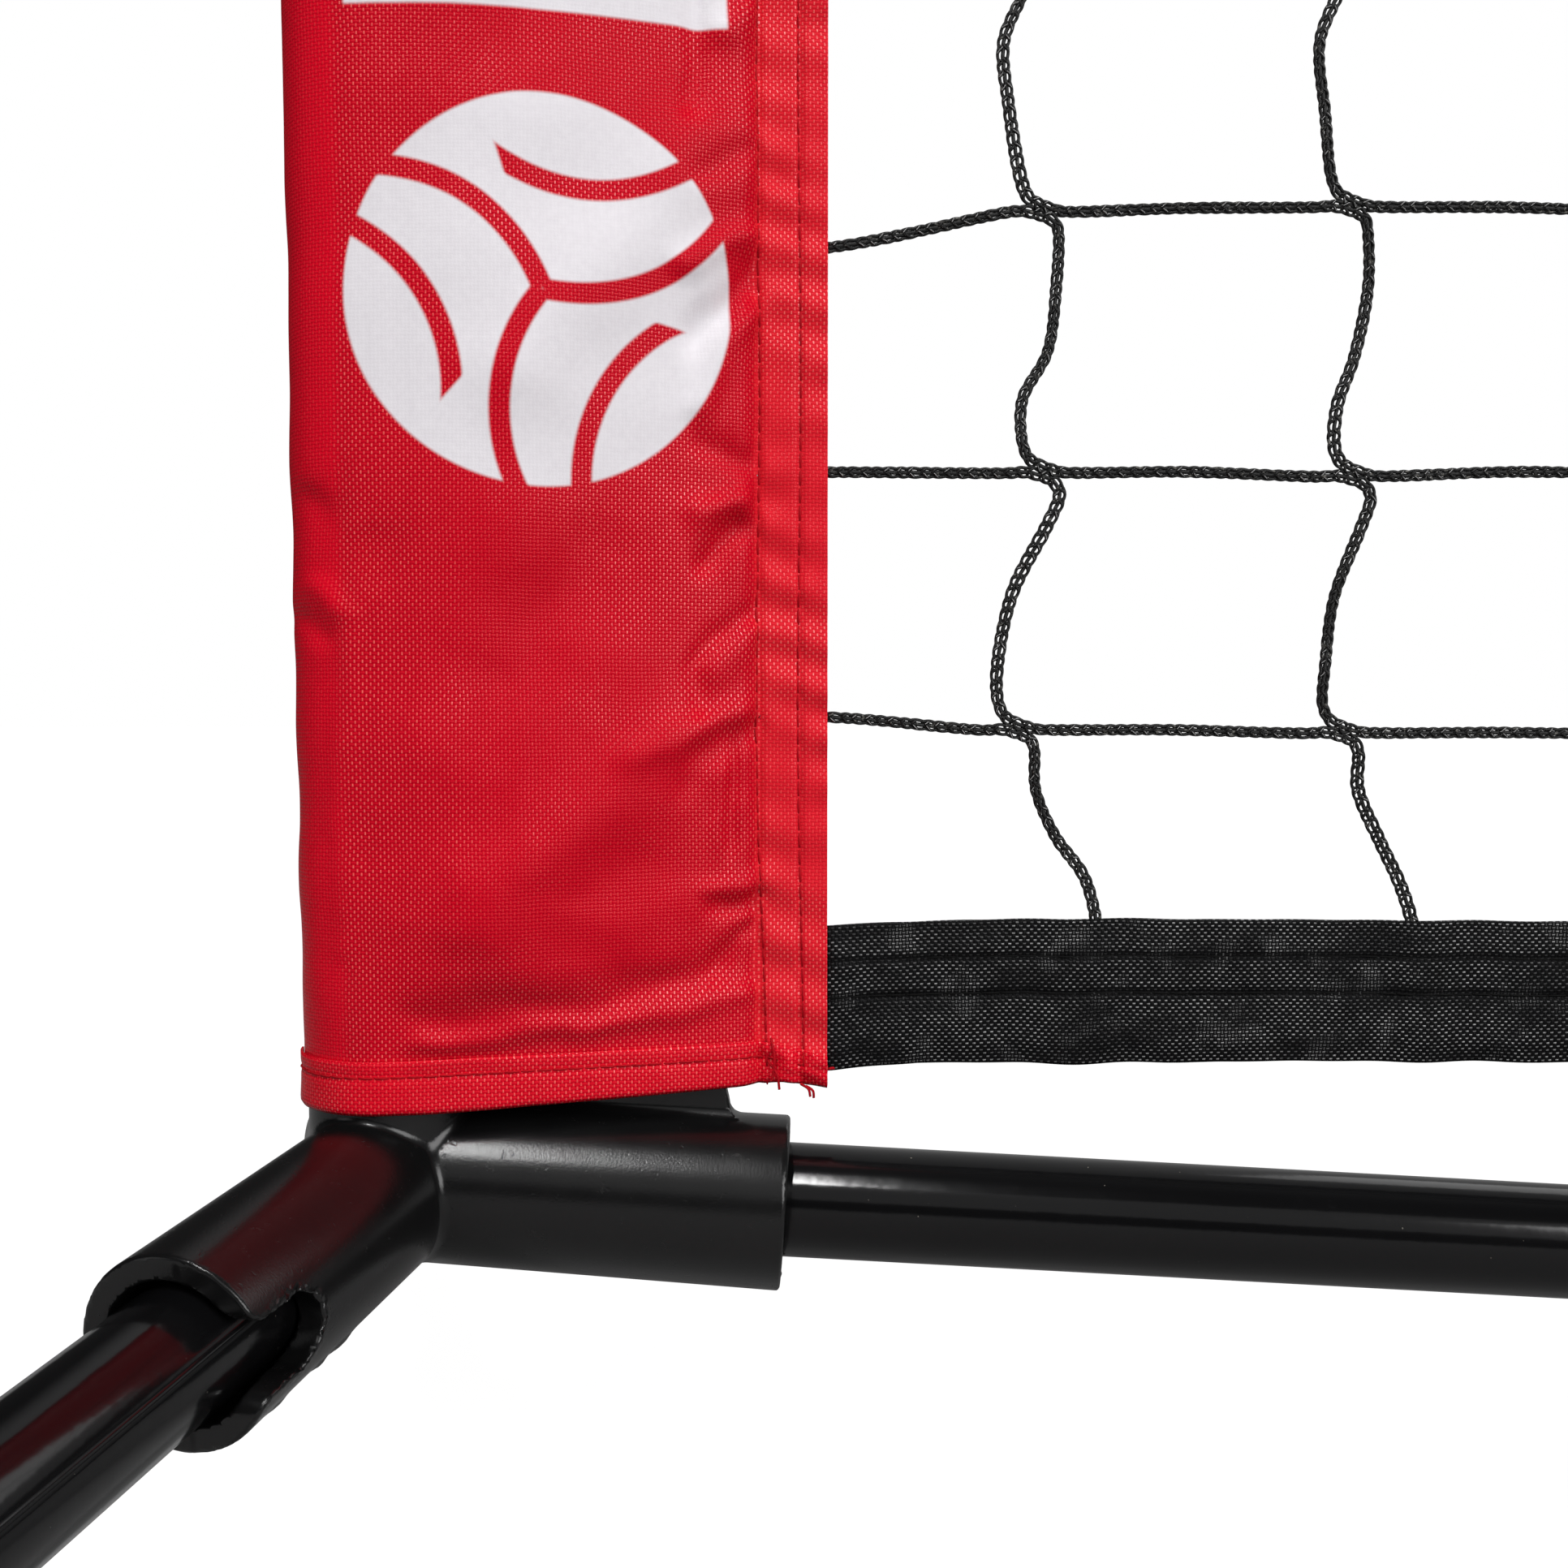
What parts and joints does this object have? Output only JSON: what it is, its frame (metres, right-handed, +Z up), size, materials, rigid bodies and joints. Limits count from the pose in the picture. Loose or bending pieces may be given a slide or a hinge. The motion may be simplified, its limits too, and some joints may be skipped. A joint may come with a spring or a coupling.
{
  "type": "portable volleyball net on telescopic poles",
  "caption": "Portable sports net stretched between telescopic poles in red fabric sleeves, on splayed legs and a sectional ground bar.",
  "frame": {"origin": "on the ground, midway between the poles, in the plane of the net", "axes": "+X along the net, +Y from the front legs to the rear legs, +Z up"},
  "size_m": [3.2594, 0.8326, 0.8729],
  "materials": {
    "moulded_black": "satin moulded black plastic, fine texture",
    "painted_tube": "glossy black powder-coated steel tube",
    "foot_rubber": "matt black rubber",
    "pale_bush": "natural nylon",
    "red_fabric": "coated red polyester, plain weave",
    "net_cord": "braided black knotless cord",
    "black_tape": "folded black binding, plain weave, stitched"
  },
  "bodies": {
    "base": {"corner_fitting_left": "moulded_black", "bar_end_section_left": "painted_tube", "bar_coupler_left": "moulded_black", "outer_pole_left": "painted_tube", "lock_ferrule_left": "moulded_black", "corner_fitting_right": "moulded_black", "bar_end_section_right": "painted_tube", "bar_coupler_right": "moulded_black", "outer_pole_right": "painted_tube", "lock_ferrule_right": "moulded_black", "bar_middle_section": "painted_tube"},
    "net_unit": {"sleeve_left": "red_fabric", "inner_pole_left": "painted_tube", "guide_bush_left": "pale_bush", "pole_cap_left": "moulded_black", "sleeve_right": "red_fabric", "inner_pole_right": "painted_tube", "guide_bush_right": "pale_bush", "pole_cap_right": "moulded_black", "net_mesh": "net_cord", "upper_tape": "black_tape", "lower_tape": "black_tape"},
    "front_leg_left": {"front_leg_left": "painted_tube", "front_foot_cap_left": "foot_rubber"},
    "rear_leg_left": {"rear_leg_left": "painted_tube", "rear_foot_cap_left": "foot_rubber"},
    "front_leg_right": {"front_leg_right": "painted_tube", "front_foot_cap_right": "foot_rubber"},
    "rear_leg_right": {"rear_leg_right": "painted_tube", "rear_foot_cap_right": "foot_rubber"},
    "lock_collar_left": {"lock_collar_left": "moulded_black"},
    "lock_collar_right": {"lock_collar_right": "moulded_black"}
  },
  "joints": [
    {"name": "net_raise", "type": "slide", "parent": "base", "child": "net_unit", "axis": [0, 0, 1], "range_m": [0, 0.63]},
    {"name": "front_leg_pull_left", "type": "slide", "parent": "base", "child": "front_leg_left", "axis": [-0.273, -0.9519, -0.1392], "range_m": [0, 0.046]},
    {"name": "rear_leg_pull_left", "type": "slide", "parent": "base", "child": "rear_leg_left", "axis": [-0.273, 0.9519, -0.1392], "range_m": [0, 0.046]},
    {"name": "front_leg_pull_right", "type": "slide", "parent": "base", "child": "front_leg_right", "axis": [0.273, -0.9519, -0.1392], "range_m": [0, 0.046]},
    {"name": "rear_leg_pull_right", "type": "slide", "parent": "base", "child": "rear_leg_right", "axis": [0.273, 0.9519, -0.1392], "range_m": [0, 0.046]},
    {"name": "lock_twist_left", "type": "hinge", "parent": "base", "child": "lock_collar_left", "pos_m": [-1.5, 0, 0.8], "axis": [0, 0, 1], "range_deg": [0, 120]},
    {"name": "lock_twist_right", "type": "hinge", "parent": "base", "child": "lock_collar_right", "pos_m": [1.5, 0, 0.8], "axis": [0, 0, 1], "range_deg": [0, 120]}
  ]
}
